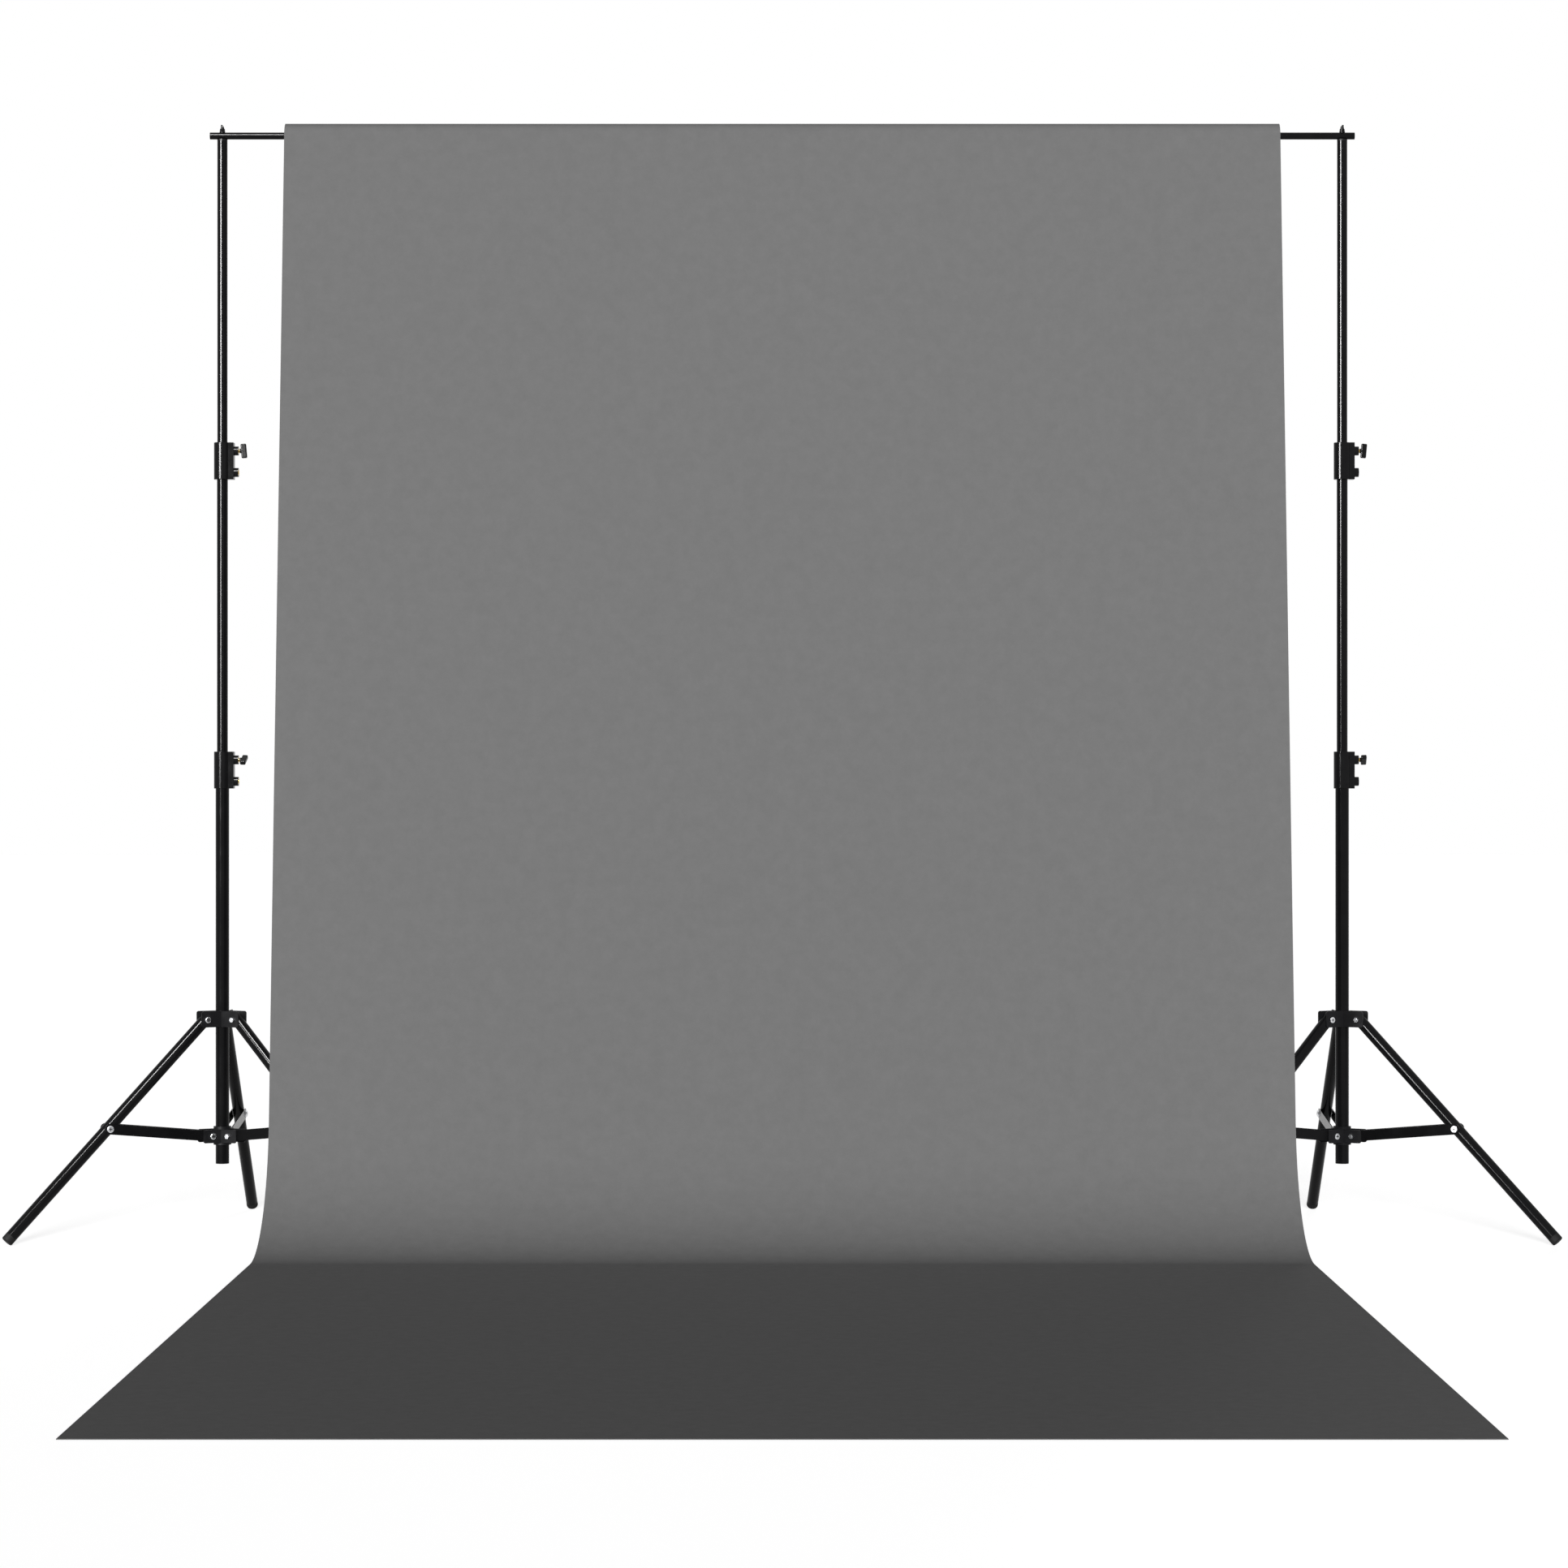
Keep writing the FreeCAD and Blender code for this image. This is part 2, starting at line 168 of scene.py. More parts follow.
class Finishes(bpy.types.PropertyGroup):
    paint: colour("Tube paint", "Glossy black of the tubes", (0.006, 0.006, 0.0065))
    hub: colour("Hub paint", "Satin black of the hubs", (0.011, 0.011, 0.012))
    plastic: colour("Collar plastic", "Black of the collars and knobs", (0.008, 0.008, 0.0085))
    rubber: colour("Foot rubber", "Black of the feet", (0.014, 0.014, 0.014))
    zinc: colour("Zinc", "Bright plate of the bolts", (0.72, 0.73, 0.75))
    brass: colour("Brass", "Brass of the collar screws", (0.78, 0.57, 0.2))
    card: colour("Card", "Card of the roll core", (0.44, 0.32, 0.2))
    cloth: colour("Cloth", "Grey of the backdrop", (0.198, 0.198, 0.198))


class StageSettings(bpy.types.PropertyGroup):
    distance: length("Distance", "From the crossbar to the camera", 7.17, 1.0, 30.0)
    height: length("Height", "Height of the camera", 0.811, 0.0, 5.0)
    lens: bpy.props.FloatProperty(name="Lens", description="Focal length in millimetres", default=90.8)
    key: bpy.props.FloatProperty(name="Key", description="Strength of the frontal light", default=2.76)
    key_height: bpy.props.FloatProperty(
        name="Key height",
        description="Elevation of the frontal light",
        default=math.radians(12.4),
        subtype="ANGLE",
    )
    back: bpy.props.FloatProperty(name="Back", description="Strength of the light from behind", default=1.3)
    fill: bpy.props.FloatProperty(
        name="Fill", description="Strength of the light from all round", default=0.1
    )
    floor_glow: bpy.props.FloatProperty(
        name="Floor glow", description="Brightness added to the floor", default=0.76
    )


class KitSettings(bpy.types.PropertyGroup):
    cloth: bpy.props.PointerProperty(type=ClothSizes, name="Cloth", description="Sizes of the cloth")
    hardware: bpy.props.PointerProperty(
        type=HardwareSizes, name="Hardware", description="Sizes of small hardware"
    )
    finish: bpy.props.PointerProperty(type=Finishes, name="Finishes", description="Colours of the finishes")
    stage: bpy.props.PointerProperty(type=StageSettings, name="Stage", description="Camera and lights")


def settings():
    """The sizes, colours and stage that a user can change."""
    return bpy.context.scene.backdrop_kit


# Shader groups


def new_group(name, inputs, output):
    """An empty shader group with float inputs and one float output, and its two end nodes."""
    group = bpy.data.node_groups.new(name, "ShaderNodeTree")
    for label, value in inputs.items():
        socket = group.interface.new_socket(label, in_out="INPUT", socket_type="NodeSocketFloat")
        socket.default_value = value
    group.interface.new_socket(output, in_out="OUTPUT", socket_type="NodeSocketFloat")
    return group, group.nodes.new("NodeGroupInput"), group.nodes.new("NodeGroupOutput")


def object_place(tree):
    """Object coordinates."""
    return tree.nodes.new("ShaderNodeTexCoord").outputs["Object"]


def mapped(tree, coordinates, rotation=(0.0, 0.0, 0.0), scale=(1.0, 1.0, 1.0)):
    """Coordinates turned and stretched."""
    node = tree.nodes.new("ShaderNodeMapping")
    node.inputs["Rotation"].default_value = rotation
    node.inputs["Scale"].default_value = scale
    tree.links.new(coordinates, node.inputs["Vector"])
    return node.outputs["Vector"]


def noise(tree, coordinates, scale, detail=4.0, roughness=0.55):
    """A noise texture whose scale is a number or a socket."""
    node = tree.nodes.new("ShaderNodeTexNoise")
    node.inputs["Detail"].default_value = detail
    node.inputs["Roughness"].default_value = roughness
    tree.links.new(coordinates, node.inputs["Vector"])
    if isinstance(scale, float):
        node.inputs["Scale"].default_value = scale
    else:
        tree.links.new(scale, node.inputs["Scale"])
    return node.outputs["Fac"]


def ramp(tree, value, low, high):
    """Spread a value between two thresholds over 0 to 1."""
    node = tree.nodes.new("ShaderNodeMapRange")
    node.inputs["From Min"].default_value = low
    node.inputs["From Max"].default_value = high
    tree.links.new(value, node.inputs["Value"])
    return node.outputs["Result"]


def maths(tree, operation, first, second):
    """A Math node whose inputs are sockets or numbers."""
    node = tree.nodes.new("ShaderNodeMath")
    node.operation = operation
    for socket, value in zip(node.inputs, (first, second)):
        if isinstance(value, (int, float)):
            socket.default_value = value
        else:
            tree.links.new(value, socket)
    return node.outputs["Value"]


def smudge_group():
    """Patches left by hands and cloths, as a mask, with fine rubbed lines along z."""
    group, ends_in, ends_out = new_group("Handling Smudges", {"Scale": 30.0, "Amount": 1.0}, "Mask")
    place = object_place(group)
    patches = ramp(group, noise(group, place, ends_in.outputs["Scale"], detail=5.0), low=0.42, high=0.68)
    along = mapped(group, place, scale=(900.0, 900.0, 24.0))
    lines = ramp(group, noise(group, along, scale=1.0, detail=2.0), low=0.58, high=0.72)
    line_share = 0.35
    both = maths(group, "ADD", patches, maths(group, "MULTIPLY", lines, line_share))
    group.links.new(maths(group, "MULTIPLY", both, ends_in.outputs["Amount"]), ends_out.inputs["Mask"])
    return group


def dust_group():
    """Dust that settles on faces that look up, as a mask."""
    group, ends_in, ends_out = new_group("Settled Dust", {"Scale": 220.0, "Amount": 0.5}, "Mask")
    normal = group.nodes.new("ShaderNodeSeparateXYZ")
    group.links.new(group.nodes.new("ShaderNodeNewGeometry").outputs["Normal"], normal.inputs["Vector"])
    upward = ramp(group, normal.outputs["Z"], low=0.35, high=1.0)
    speckled = noise(group, object_place(group), ends_in.outputs["Scale"], detail=6.0, roughness=0.7)
    specks = ramp(group, speckled, low=0.4, high=0.75)
    both = maths(group, "MULTIPLY", upward, specks)
    group.links.new(maths(group, "MULTIPLY", both, ends_in.outputs["Amount"]), ends_out.inputs["Mask"])
    return group


def grain_group():
    """A fine surface texture, as a height: the sum of a fine and a broad noise."""
    group, ends_in, ends_out = new_group("Surface Grain", {"Scale": 900.0}, "Height")
    place = object_place(group)
    fine = noise(group, place, ends_in.outputs["Scale"], detail=3.0)
    broad_share = 0.18
    broad_scale = maths(group, "MULTIPLY", ends_in.outputs["Scale"], broad_share)
    broad = noise(group, place, broad_scale, detail=2.0)
    group.links.new(maths(group, "ADD", fine, broad), ends_out.inputs["Height"])
    return group


def shared(builder, name):
    """The shader group of a name, built once."""
    return bpy.data.node_groups.get(name) or builder()


# Materials


def new_material(name):
    """A material with one Principled shader."""
    material = bpy.data.materials.new(name)
    material.use_nodes = True
    return material, material.node_tree, material.node_tree.nodes["Principled BSDF"]


def place_group(tree, group, **values):
    """Put a shared group in a material with its own values."""
    node = tree.nodes.new("ShaderNodeGroup")
    node.node_tree = group
    for label, value in values.items():
        node.inputs[label].default_value = value
    return node


def mix_colours(tree, mask, first, second):
    """Blend two colours by a mask."""
    node = tree.nodes.new("ShaderNodeMix")
    node.data_type = "RGBA"
    tree.links.new(mask, node.inputs["Factor"])
    ends = [socket for socket in node.inputs if socket.type == "RGBA"]
    for socket, value in zip(ends, (first, second)):
        if isinstance(value, tuple):
            socket.default_value = (*value, 1.0)
        else:
            tree.links.new(value, socket)
    return next(socket for socket in node.outputs if socket.type == "RGBA")


def spread(tree, mask, low, high):
    """Turn a mask into a value between two limits."""
    node = tree.nodes.new("ShaderNodeMapRange")
    node.inputs["To Min"].default_value = low
    node.inputs["To Max"].default_value = high
    tree.links.new(mask, node.inputs["Value"])
    return node.outputs["Result"]


def add_bump(tree, shader, height, distance, strength=1.0):
    """Raise a surface by a height mask."""
    bump = tree.nodes.new("ShaderNodeBump")
    bump.inputs["Distance"].default_value = distance
    bump.inputs["Strength"].default_value = strength
    tree.links.new(height, bump.inputs["Height"])
    tree.links.new(bump.outputs["Normal"], shader.inputs["Normal"])


def lighter(tint, times, lift=0.0):
    """A brighter copy of a colour."""
    return tuple(min(1.0, channel * times + lift) for channel in tint)


def hard_finish(name, tint, rough, grain, bump, smudge=1.0, dust=0.5, metal=0.0, specular=0.5):
    """Paint, plastic, rubber or metal: smudges change the gloss, dust lightens it, grain roughens it."""
    material, tree, shader = new_material(name)
    tint = tuple(tint)
    if metal:
        rubbed_tint, dusty_tint = lighter(tint, 0.88), lighter(tint, 0.8)
    else:
        rubbed_tint, dusty_tint = lighter(tint, 1.25), lighter(tint, 1.0, lift=0.05)
    smudge_node = place_group(tree, shared(smudge_group, "Handling Smudges"), Scale=35.0, Amount=smudge)
    dust_node = place_group(tree, shared(dust_group, "Settled Dust"), Scale=260.0, Amount=dust)
    smudges, settled = smudge_node.outputs["Mask"], dust_node.outputs["Mask"]
    grained = place_group(tree, shared(grain_group, "Surface Grain"), Scale=grain).outputs["Height"]
    rubbed = mix_colours(tree, smudges, tint, rubbed_tint)
    dusty = mix_colours(tree, settled, rubbed, dusty_tint)
    tree.links.new(dusty, shader.inputs["Base Color"])
    tree.links.new(spread(tree, smudges, *rough), shader.inputs["Roughness"])
    shader.inputs["Metallic"].default_value = metal
    shader.inputs["Specular IOR Level"].default_value = specular
    add_bump(tree, shader, grained, bump)
    return material


def cloth_finish(tint):
    """Felted cloth: slow mottling and short fibres lying every way."""
    material, tree, shader = new_material("Grey Felted Cloth")
    tint = tuple(tint)
    place = object_place(tree)
    clouds = noise(tree, place, scale=48.0, detail=6.0, roughness=0.7)
    flecks = noise(tree, place, scale=420.0, detail=4.0, roughness=0.7)
    cloudy = ramp(tree, clouds, low=0.3, high=0.7)
    mottled = mix_colours(tree, cloudy, lighter(tint, 0.95), lighter(tint, 1.05))
    flecked = mix_colours(tree, ramp(tree, flecks, low=0.62, high=0.85), mottled, lighter(tint, 1.25))
    tree.links.new(flecked, shader.inputs["Base Color"])
    tree.links.new(spread(tree, flecks, low=0.88, high=1.0), shader.inputs["Roughness"])
    shader.inputs["Specular IOR Level"].default_value = 0.0
    fibres = []
    for angle in (0.3, 1.35, 2.4):
        turned = mapped(tree, place, rotation=(angle, angle * 0.7, angle), scale=(1500.0, 260.0, 1500.0))
        fibres.append(noise(tree, turned, scale=1.0, detail=2.0))
    felt = maths(tree, "ADD", maths(tree, "ADD", fibres[0], fibres[1]), fibres[2])
    add_bump(tree, shader, felt, distance=0.00025, strength=0.5)
    return material


def card_finish(tint):
    """Card wound in a spiral: slanting joints and short fibres."""
    material, tree, shader = new_material("Wound Card")
    tint = tuple(tint)
    place = object_place(tree)
    wave = tree.nodes.new("ShaderNodeTexWave")
    wave.inputs["Scale"].default_value = 9.0
    wave.inputs["Distortion"].default_value = 0.4
    tree.links.new(mapped(tree, place, rotation=(0.0, 0.5, 0.6)), wave.inputs["Vector"])
    joints = ramp(tree, wave.outputs["Fac"], low=0.0, high=0.06)
    fibres = noise(tree, place, scale=500.0, detail=5.0, roughness=0.7)
    card = mix_colours(tree, joints, lighter(tint, 0.6), tint)
    fibrous = mix_colours(tree, ramp(tree, fibres, low=0.4, high=0.8), card, lighter(tint, 1.25))
    tree.links.new(fibrous, shader.inputs["Base Color"])
    tree.links.new(spread(tree, fibres, low=0.75, high=0.95), shader.inputs["Roughness"])
    add_bump(tree, shader, fibres, distance=0.0002)
    return material


FINISH = {}


def finishes():
    """Every finish by the slot that it serves, built once."""
    finish = settings().finish
    black = {"specular": 0.06}
    metal = {"grain": 1200.0, "bump": 0.00002, "dust": 0.3, "metal": 1.0}
    makers = {
        "tube_black": lambda: hard_finish(
            "Gloss Black Paint", finish.paint, (0.11, 0.16), grain=500.0, bump=0.000002, dust=0.06, **black
        ),
        "hub_black": lambda: hard_finish(
            "Satin Black Paint", finish.hub, (0.34, 0.5), grain=1400.0, bump=0.00003, dust=0.08, specular=0.07
        ),
        "collar_black": lambda: hard_finish(
            "Moulded Black", finish.plastic, (0.13, 0.18), grain=1100.0, bump=0.000003, dust=0.08, **black
        ),
        "knob_black": lambda: hard_finish(
            "Knob Black", finish.plastic, (0.22, 0.32), grain=1600.0, bump=0.00002, dust=0.08, **black
        ),
        "guide_plastic": lambda: hard_finish(
            "Guide Plastic", (0.3, 0.3, 0.29), (0.45, 0.6), grain=900.0, bump=0.00003
        ),
        "foot_rubber": lambda: hard_finish(
            "Foot Rubber", finish.rubber, (0.6, 0.85), grain=1800.0, bump=0.00008, dust=0.15, **black
        ),
        "zinc": lambda: hard_finish("Bright Zinc", finish.zinc, (0.2, 0.36), **metal),
        "brass": lambda: hard_finish("Plain Brass", finish.brass, (0.22, 0.38), **metal),
        "core_card": lambda: card_finish(finish.card),
        "backdrop_grey": lambda: cloth_finish(finish.cloth),
    }
    for slot, maker in makers.items():
        if slot not in FINISH:
            FINISH[slot] = maker()
    return FINISH


# Mesh helpers


def add_piece(name, mesh, body, slot, smooth=True):
    """Put a mesh in the scene as a piece that rides on a body and has a slot's finish."""
    mesh.validate()
    piece = bpy.data.objects.new(name, mesh)
    bpy.context.scene.collection.objects.link(piece)
    mesh.materials.clear()
    mesh.materials.append(finishes()[slot])
    mesh.polygons.foreach_set("use_smooth", [smooth] * len(mesh.polygons))
    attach(piece, body)
    return piece


def ribbon(name, stations, columns, thickness, wave=None):
    """A cloth mesh with real thickness. Stations are (point, outward normal) pairs in the y-z plane."""
    low, high = SHEET_LOW.x, SHEET_HIGH.x
    vertices, faces = [], []
    count = columns + 1
    for side in (0.5, -0.5):
        for point, normal in stations:
            for column in range(count):
                x = low + (high - low) * column / columns
                lift = wave(x, point) if wave else 0.0
                vertices.append(Vector((x, point.y, point.z)) + normal * (thickness * side + lift))
    rows = len(stations)
    layer = rows * count
    for row in range(rows - 1):
        for column in range(columns):
            a = row * count + column
            quad = (a, a + 1, a + 1 + count, a + count)
            faces.append(quad)
            faces.append(tuple(layer + i for i in reversed(quad)))
    border = list(range(count))
    border += [row * count + columns for row in range(1, rows)]
    border += [(rows - 1) * count + column for column in range(columns - 1, -1, -1)]
    border += [row * count for row in range(rows - 2, 0, -1)]
    for first, second in zip(border, border[1:] + border[:1]):
        faces.append((second, first, layer + first, layer + second))
    mesh = bpy.data.meshes.new(name)
    mesh.from_pydata(vertices, [], faces)
    mesh.update()
    tidy = bmesh.new()
    tidy.from_mesh(mesh)
    bmesh.ops.recalc_face_normals(tidy, faces=tidy.faces)
    for edge in tidy.edges:
        if len(edge.link_faces) == 2 and edge.calc_face_angle(0.0) > SHARP_EDGE:
            edge.smooth = False
    tidy.to_mesh(mesh)
    tidy.free()
    return mesh


def lathe(profile, segments=28):
    """A bmesh of a closed profile of (radius, height) pairs turned about z."""
    mesh = bmesh.new()
    rings = []
    for radius, height in profile:
        ring = []
        for i in range(segments):
            angle = 2 * math.pi * i / segments
            ring.append(mesh.verts.new((radius * math.cos(angle), radius * math.sin(angle), height)))
        rings.append(ring)
    for first, second in zip(rings, rings[1:] + rings[:1]):
        for i in range(segments):
            j = (i + 1) % segments
            mesh.faces.new((first[i], first[j], second[j], second[i]))
    return mesh


def thread_profile(bore, outer, run, pitch, depth):
    """A sleeve with ridges outside and a plain bore."""
    turns = max(2, round(run / pitch))
    profile = [(bore, 0.0)]
    for turn in range(turns):
        start = run * turn / turns
        profile += [(outer - depth * below, start + share * run / turns) for share, below in RIDGE]
    profile.append((bore, run))
    return profile


def aim(direction):
    """A turn that takes z to a direction."""
    return Vector(direction).to_track_quat("Z", "Y").to_matrix().to_4x4()


def put_piece(name, mesh, place, direction, body, slot, smooth=True):
    """Make a piece of a bmesh, turned to a direction and moved to a place."""
    bmesh.ops.recalc_face_normals(mesh, faces=mesh.faces)
    mesh.transform(Matrix.Translation(place) @ aim(direction))
    data = bpy.data.meshes.new(name)
    mesh.to_mesh(data)
    mesh.free()
    return add_piece(name, data, body, slot, smooth)


# Cloth


class ClothPath:
    """The middle line of the cloth, from the front of the roll to its front edge on the floor."""

    def __init__(self, sizes):
        half = sizes.thickness / 2
        self.down = Vector((0, -math.sin(sizes.lean), -math.cos(sizes.lean)))
        self.out = Vector((0, -math.cos(sizes.lean), math.sin(sizes.lean)))
        self.top = ROLL + self.out * (ROLL_RADIUS + sizes.lap_clearance + half)
        fall = (self.top.z - half) / math.cos(sizes.lean)
        corner = self.top + self.down * fall
        self.turn = math.pi / 2 - sizes.lean
        tangent = sizes.sweep * math.tan(self.turn / 2)
        self.hanging = fall - tangent
        self.curve = sizes.sweep * self.turn
        self.centre = Vector((0, corner.y - tangent, half + sizes.sweep))
        self.floor = self.centre.y - SHEET_LOW.y
        self.radius = sizes.sweep
        self.length = self.hanging + self.curve + self.floor
        self.split = (self.top.z - sizes.fold_height) / math.cos(sizes.lean)

    def station(self, along):
        """The point and outward normal at a length along the cloth."""
        if along <= self.hanging:
            return self.top + self.down * along, self.out
        if along <= self.hanging + self.curve:
            turned = (along - self.hanging) / self.radius
            normal = Matrix.Rotation(-turned, 3, "X") @ self.out
            return self.centre - normal * self.radius, normal
        past = along - self.hanging - self.curve
        return Vector((0, self.centre.y - past, self.centre.z - self.radius)), Vector((0, 0, 1))

    def stations(self, start, end, step):
        """Evenly spaced stations, closer together round the sweep."""
        stops = [start]
        tolerance = 1e-6
        while stops[-1] < end - tolerance:
            near = abs(stops[-1] - self.hanging - self.curve / 2) < self.curve * FINE_REACH
            stops.append(min(end, stops[-1] + (step / FINE_STEPS if near else step)))
        return [self.station(stop) for stop in stops]


def clamp(value):
    """A value held between 0 and 1."""
    return max(0.0, min(1.0, value))


def cloth_wave(sizes):
    """Slow waves across the hanging cloth that die out at the roll and on the floor."""
    top = SHEET_HIGH.z

    def wave(x, point):
        hang = clamp((point.z - FLAT_BELOW) / FADE_LOW) * clamp((top - point.z) / FADE_HIGH)
        return sizes.ripple * hang * sum(share * math.sin(a * x + b * point.z) for share, a, b in WAVES)

    return wave


def coil(steps, turned, start, radius):
    """Stations round the roll from a starting direction, and their length. The radius is a function."""
    stations, run, last = [], 0.0, None
    for i in range(steps + 1):
        share = i / steps
        normal = Matrix.Rotation(turned * share, 3, "X") @ start
        point = ROLL + normal * radius(share)
        run += (point - last).length if last else 0.0
        last = point
        stations.append((point, normal))
    return stations, run


class BACKDROP_OT_cloth(bpy.types.Operator):
    """Build the hanging and lying cloth in two lengths that follow the two stages of the stands"""

    bl_idname = "backdrop.cloth"
    bl_label = "Backdrop Cloth"

    def execute(self, context):
        sizes = settings().cloth
        path = ClothPath(sizes)
        wave = cloth_wave(sizes)
        fold = sizes.fold_height
        parts = (
            ("backdrop_upper", path.split, 0.0, "left_mid", "top_slide", fold, path.top.z),
            ("backdrop_lower", path.length, path.split, "left_base", "left_mid_slide", 0.0, fold),
        )
        for name, end, start, body, joint, low, high in parts:
            mesh = ribbon(name, path.stations(start, end, sizes.step), SHEET_COLUMNS, sizes.thickness, wave)
            piece = add_piece(name, mesh, body, "backdrop_grey")
            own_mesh(piece)
            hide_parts("backdrop_sheet")
        return {"FINISHED"}


class BACKDROP_OT_roll(bpy.types.Operator):
    """Build the wound cloth on the core and the lap that leaves it"""

    bl_idname = "backdrop.roll"
    bl_label = "Backdrop Roll"

    def execute(self, context):
        sizes = settings().cloth
        path = ClothPath(sizes)
        inner = CORE_RADIUS + sizes.thickness / 2 + WINDING_GAP
        outer = ROLL_RADIUS - sizes.thickness * OUTER_ROOM
        turns = (outer - inner) / (sizes.thickness * LAYER_PITCH)
        winding, run = coil(
            int(turns * TURN_STEPS),
            2 * math.pi * turns,
            Vector((0, 0, 1)),
            lambda share: inner + (outer - inner) * share,
        )
        mesh = ribbon("backdrop_winding", winding, WINDING_COLUMNS, sizes.thickness)
        piece = add_piece("backdrop_winding", mesh, "roll", "backdrop_grey")
        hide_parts("roll_layers")
        meeting = ROLL_RADIUS + sizes.lap_clearance + sizes.thickness / 2
        resting = outer + sizes.thickness * LAP_REST
        lap, run = coil(
            LAP_STEPS,
            -LAP_TURN,
            path.out,
            lambda share: meeting + (resting - meeting) * min(1.0, share * LAP_SETTLE),
        )
        mesh = ribbon("backdrop_lap", lap, LAP_COLUMNS, sizes.thickness)
        piece = add_piece("backdrop_lap", mesh, "top_frame", "backdrop_grey")
        return {"FINISHED"}


# Small hardware


class BACKDROP_OT_threads(bpy.types.Operator):
    """Add the threads of the knobs and studs and the brass inserts of the collar bosses"""

    bl_idname = "backdrop.threads"
    bl_label = "Threads and Inserts"

    def execute(self, context):
        sizes = settings().hardware
        insert = [
            (INSERT_BORE, 0.0),
            (sizes.boss_insert, 0.0),
            (sizes.boss_insert, INSERT_EDGE),
            (sizes.boss_insert - INSERT_BEVEL, INSERT_HEIGHT),
            (INSERT_BORE, INSERT_HEIGHT),
        ]
        ridges = (sizes.thread_pitch, sizes.thread_depth)
        knob_thread = thread_profile(THREAD_BORE, sizes.knob_thread, KNOB_THREAD_RUN, *ridges)
        along_x, along_z = (1, 0, 0), (0, 0, 1)
        for side in SIDES:
            for level, holder in (("lower", "base"), ("upper", "mid")):
                stem = f"{side}_{level}"
                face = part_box(f"{stem}_collar")[1].x
                y, z = JOINTS[f"{stem}_knob_turn"]["pos_m"][1:]
                place = Vector((face, y, z)) + Vector((KNOB_THREAD_GAP, 0, 0))
                knob = f"{stem}_knob_body"
                put_piece(f"{stem}_knob_thread", lathe(knob_thread), place, along_x, knob, "brass")
                for label, height in (("knob", z), ("screw", middle(f"{stem}_collar_screw").z)):
                    place = Vector((face - INSERT_SINK, y, height))
                    name = f"{stem}_{label}_insert"
                    put_piece(name, lathe(insert), place, along_x, f"{side}_{holder}", "brass")
            nut_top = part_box(f"{side}_wing_nut")[0].z + WING_NUT_HUB
            pole = middle(f"{side}_stud")
            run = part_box(f"{side}_stud")[1].z - nut_top
            stud_thread = lathe(thread_profile(THREAD_BORE, sizes.stud_thread, run, *ridges))
            place = Vector((pole.x, pole.y, nut_top))
            put_piece(f"{side}_stud_thread", stud_thread, place, along_z, "top_frame", "hub_black")
        return {"FINISHED"}


def recess_shade(name, place, direction, body, sizes):
    """Painted shade of the cross recess in a bolt head: a dark prism standing where the real recess is a
    shaded hollow.
    """
    mesh = bmesh.new()
    half, arm = sizes.recess_shade_span / 2, sizes.recess_shade_width / 2
    outline = [(half, arm), (arm, arm), (arm, half), (-arm, half), (-arm, arm), (-half, arm)]
    outline += [(-x, -y) for x, y in outline]
    heights = (-RECESS_SHADE_DEPTH, RECESS_SHADE_DEPTH * RECESS_SHADE_RISE - RECESS_SHADE_DEPTH)
    low, high = ([mesh.verts.new((x, y, z)) for x, y in outline] for z in heights)
    mesh.faces.new(low)
    mesh.faces.new(high)
    for i in range(len(outline)):
        mesh.faces.new((low[i - 1], low[i], high[i], high[i - 1]))
    # knob black here is painted shade, not the colour of the bolt head
    return put_piece(name, mesh, place, direction, body, "knob_black", smooth=False)


class BACKDROP_OT_recess_shades(bpy.types.Operator):
    """Add the painted shade of the cross recesses of the tripod bolts, as dark prisms in place of the shaded
    hollows
    """

    bl_idname = "backdrop.recesses"
    bl_label = "Bolt Recess Shades"

    def execute(self, context):
        sizes = settings().hardware
        for side in SIDES:
            pole = middle(f"{side}_base_tube")
            for leg in ("outer", "inner", "rear"):
                hinge = JOINTS[f"{side}_leg_{leg}_hinge"]
                low = JOINTS[f"{side}_brace_{leg}_hinge"]
                across = Vector(hinge["axis"])
                outward = Vector((across.y, -across.x, 0))
                screw = middle(f"{side}_brace_screw_{leg}")
                end = Vector((pole.x, pole.y, screw.z)) + outward * (screw - pole).dot(outward)
                leg_bolt = Vector(hinge["pos_m"]) + across * LEG_BOLT_FACE
                brace_bolt = Vector(low["pos_m"]) + across * BRACE_BOLT_FACE
                # dark prisms that paint the shade in the cross recesses of the bolts
                recess_shade(f"{side}_leg_{leg}_recess", leg_bolt, across, f"{side}_hub", sizes)
                recess_shade(f"{side}_brace_{leg}_recess", brace_bolt, across, f"{side}_base", sizes)
                for label, sign in (("near", 1), ("far", -1)):
                    recess_shade(
                        f"{side}_screw_{leg}_recess_{label}",
                        end + across * (SCREW_FACE * sign),
                        across * sign,
                        f"{side}_brace_{leg}_body",
                        sizes,
                    )
        return {"FINISHED"}


class BACKDROP_OT_finishes(bpy.types.Operator):
    """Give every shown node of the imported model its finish"""

    bl_idname = "backdrop.finishes"
    bl_label = "Finishes"

    def execute(self, context):
        slots = {part["node"]: part["material_slot"] for part in frame["record"]["subparts"]}
        for node, part in frame["nodes"].items():
            part.data.materials.clear()
            part.data.materials.append(finishes()[slots[node]])
        return {"FINISHED"}


# Stage


def seen_by_mirrors(tree):
    """1 for rays from the camera and for rays that a shiny or clear surface sends on."""
    path = tree.nodes.new("ShaderNodeLightPath")
    both = maths(tree, "MAXIMUM", path.outputs["Is Camera Ray"], path.outputs["Is Glossy Ray"])
    return maths(tree, "MAXIMUM", both, path.outputs["Is Transmission Ray"])


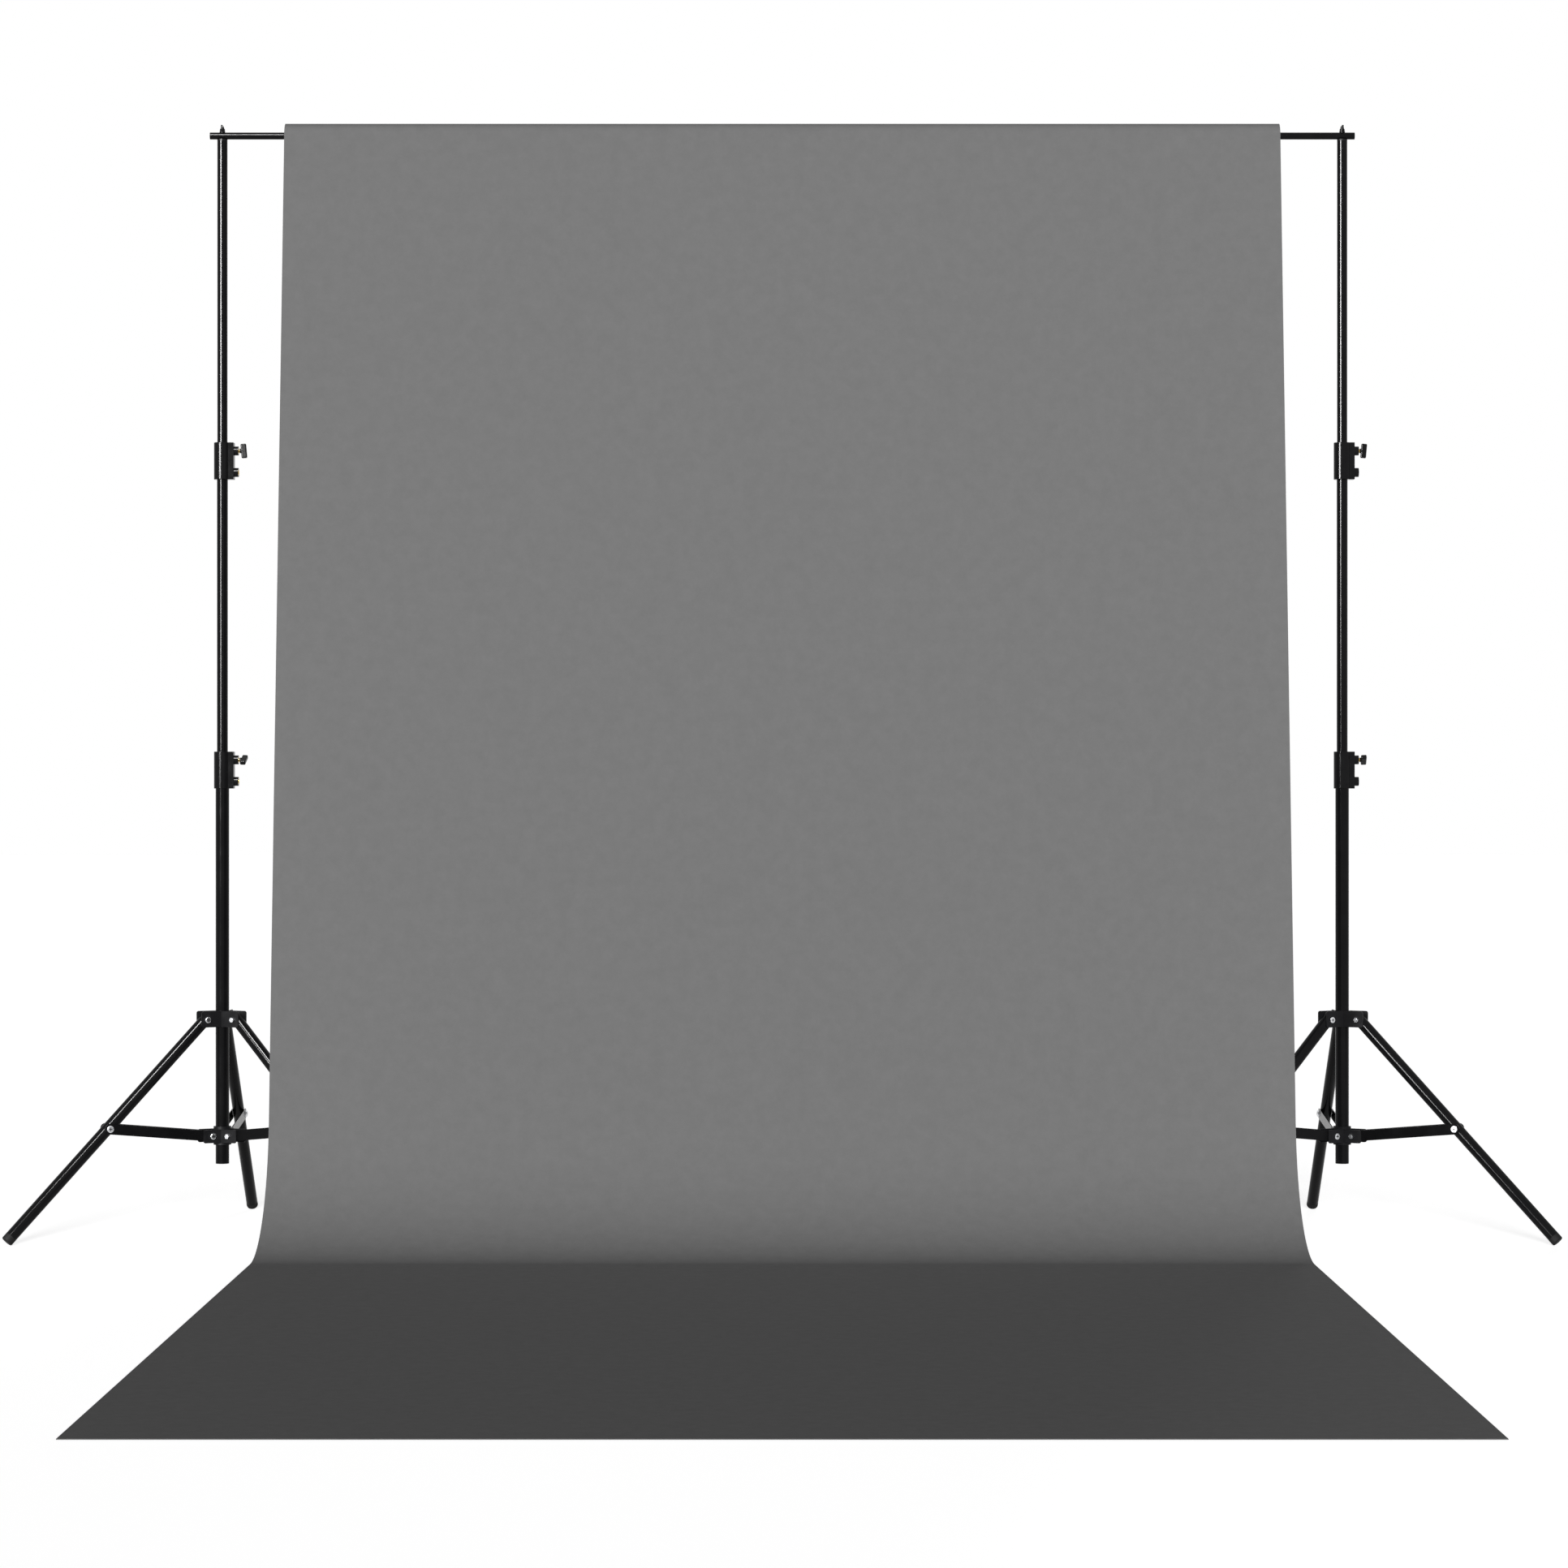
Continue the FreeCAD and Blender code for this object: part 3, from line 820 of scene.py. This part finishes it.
def white_floor(stage):
    """A large plain floor that shows white and keeps its shadows."""
    mesh = bpy.data.meshes.new("studio_floor")
    quarters = ((-1, -1), (1, -1), (1, 1), (-1, 1))
    corners = [(x * FLOOR_REACH, y * FLOOR_REACH, -FLOOR_DROP) for x, y in quarters]
    mesh.from_pydata(corners, [], [(0, 1, 2, 3)])
    floor = bpy.data.objects.new("studio_floor", mesh)
    bpy.context.scene.collection.objects.link(floor)
    material = bpy.data.materials.new("Studio Floor")
    material.use_nodes = True
    tree = material.node_tree
    tree.nodes.clear()
    plain = tree.nodes.new("ShaderNodeBsdfDiffuse")
    plain.inputs["Color"].default_value = FLOOR_COLOUR
    glow = tree.nodes.new("ShaderNodeEmission")
    strength = maths(tree, "MULTIPLY", seen_by_mirrors(tree), stage.floor_glow)
    tree.links.new(strength, glow.inputs["Strength"])
    both = tree.nodes.new("ShaderNodeAddShader")
    tree.links.new(plain.outputs["BSDF"], both.inputs[0])
    tree.links.new(glow.outputs["Emission"], both.inputs[1])
    end = tree.nodes.new("ShaderNodeOutputMaterial")
    tree.links.new(both.outputs["Shader"], end.inputs["Surface"])
    mesh.materials.append(material)


def white_world(stage):
    """Surroundings that show white and give a low even fill."""
    world = bpy.data.worlds.new("Studio")
    bpy.context.scene.world = world
    world.use_nodes = True
    tree = world.node_tree
    background = tree.nodes["Background"]
    background.inputs["Color"].default_value = WHITE
    extra = maths(tree, "MULTIPLY", seen_by_mirrors(tree), 1.0 - stage.fill)
    tree.links.new(maths(tree, "ADD", extra, stage.fill), background.inputs["Strength"])


def add_light(name, kind, energy, place, target, size=(1.0, 1.0)):
    """A light at a place that looks at a target."""
    light = bpy.data.lights.new(name, kind)
    light.energy = energy
    if kind == "AREA":
        light.shape = "RECTANGLE"
        light.size, light.size_y = size
    else:
        light.angle = SUN_WIDTH
    lamp = bpy.data.objects.new(name, light)
    bpy.context.scene.collection.objects.link(lamp)
    lamp.location = place
    lamp.rotation_euler = (Vector(target) - Vector(place)).to_track_quat("-Z", "Y").to_euler()
    return lamp


class BACKDROP_OT_stage(bpy.types.Operator):
    """Set up the floor, the lights and the camera"""

    bl_idname = "backdrop.stage"
    bl_label = "Stage"

    def execute(self, context):
        stage = settings().stage
        scene = context.scene
        white_floor(stage)
        white_world(stage)
        front = Vector((0, -math.cos(stage.key_height), math.sin(stage.key_height))) * SUN_DISTANCE
        for name, energy, place in (("key_light", stage.key, front), ("back_light", stage.back, BACK_PLACE)):
            add_light(name, "SUN", energy, place, (0, 0, 0)).visible_glossy = False
        for name, energy, place, target, size in AREA_LIGHTS:
            add_light(name, "AREA", energy, place, target, size).visible_diffuse = False
        camera = bpy.data.cameras.new("camera")
        camera.lens = stage.lens
        camera.sensor_width = SENSOR_WIDTH
        camera.shift_x = SHIFT_X
        camera.shift_y = SHIFT_Y
        viewer = bpy.data.objects.new("camera", camera)
        scene.collection.objects.link(viewer)
        left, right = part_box("left_base_tube")[0].x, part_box("right_base_tube")[1].x
        viewer.location = ((left + right) / 2, BAR.y - stage.distance, stage.height)
        viewer.rotation_euler = (math.pi / 2, 0, 0)
        scene.camera = viewer
        scene.view_settings.view_transform = "Standard"
        return {"FINISHED"}


STEPS = ("finishes", "cloth", "roll", "threads", "recesses", "stage")


class BACKDROP_PT_panel(bpy.types.Panel):
    bl_label = "Backdrop Kit"
    bl_idname = "BACKDROP_PT_panel"
    bl_space_type = "VIEW_3D"
    bl_region_type = "UI"
    bl_category = "Backdrop Kit"

    def draw(self, context):
        for group in (settings().cloth, settings().hardware, settings().finish, settings().stage):
            box = self.layout.box()
            for name in group.__annotations__:
                box.prop(group, name)
        for step in STEPS:
            self.layout.operator(f"backdrop.{step}")


CLASSES = (
    ClothSizes,
    HardwareSizes,
    Finishes,
    StageSettings,
    KitSettings,
    BACKDROP_OT_finishes,
    BACKDROP_OT_cloth,
    BACKDROP_OT_roll,
    BACKDROP_OT_threads,
    BACKDROP_OT_recess_shades,
    BACKDROP_OT_stage,
    BACKDROP_PT_panel,
)


def register():
    for kind in CLASSES:
        bpy.utils.register_class(kind)
    bpy.types.Scene.backdrop_kit = bpy.props.PointerProperty(
        type=KitSettings, name="Backdrop kit", description="Sizes, finishes and stage of the kit"
    )


def unregister():
    del bpy.types.Scene.backdrop_kit
    for kind in reversed(CLASSES):
        bpy.utils.unregister_class(kind)


def main():
    register()
    for step in STEPS:
        getattr(bpy.ops.backdrop, step)()


if __name__ == "__main__":
    main()
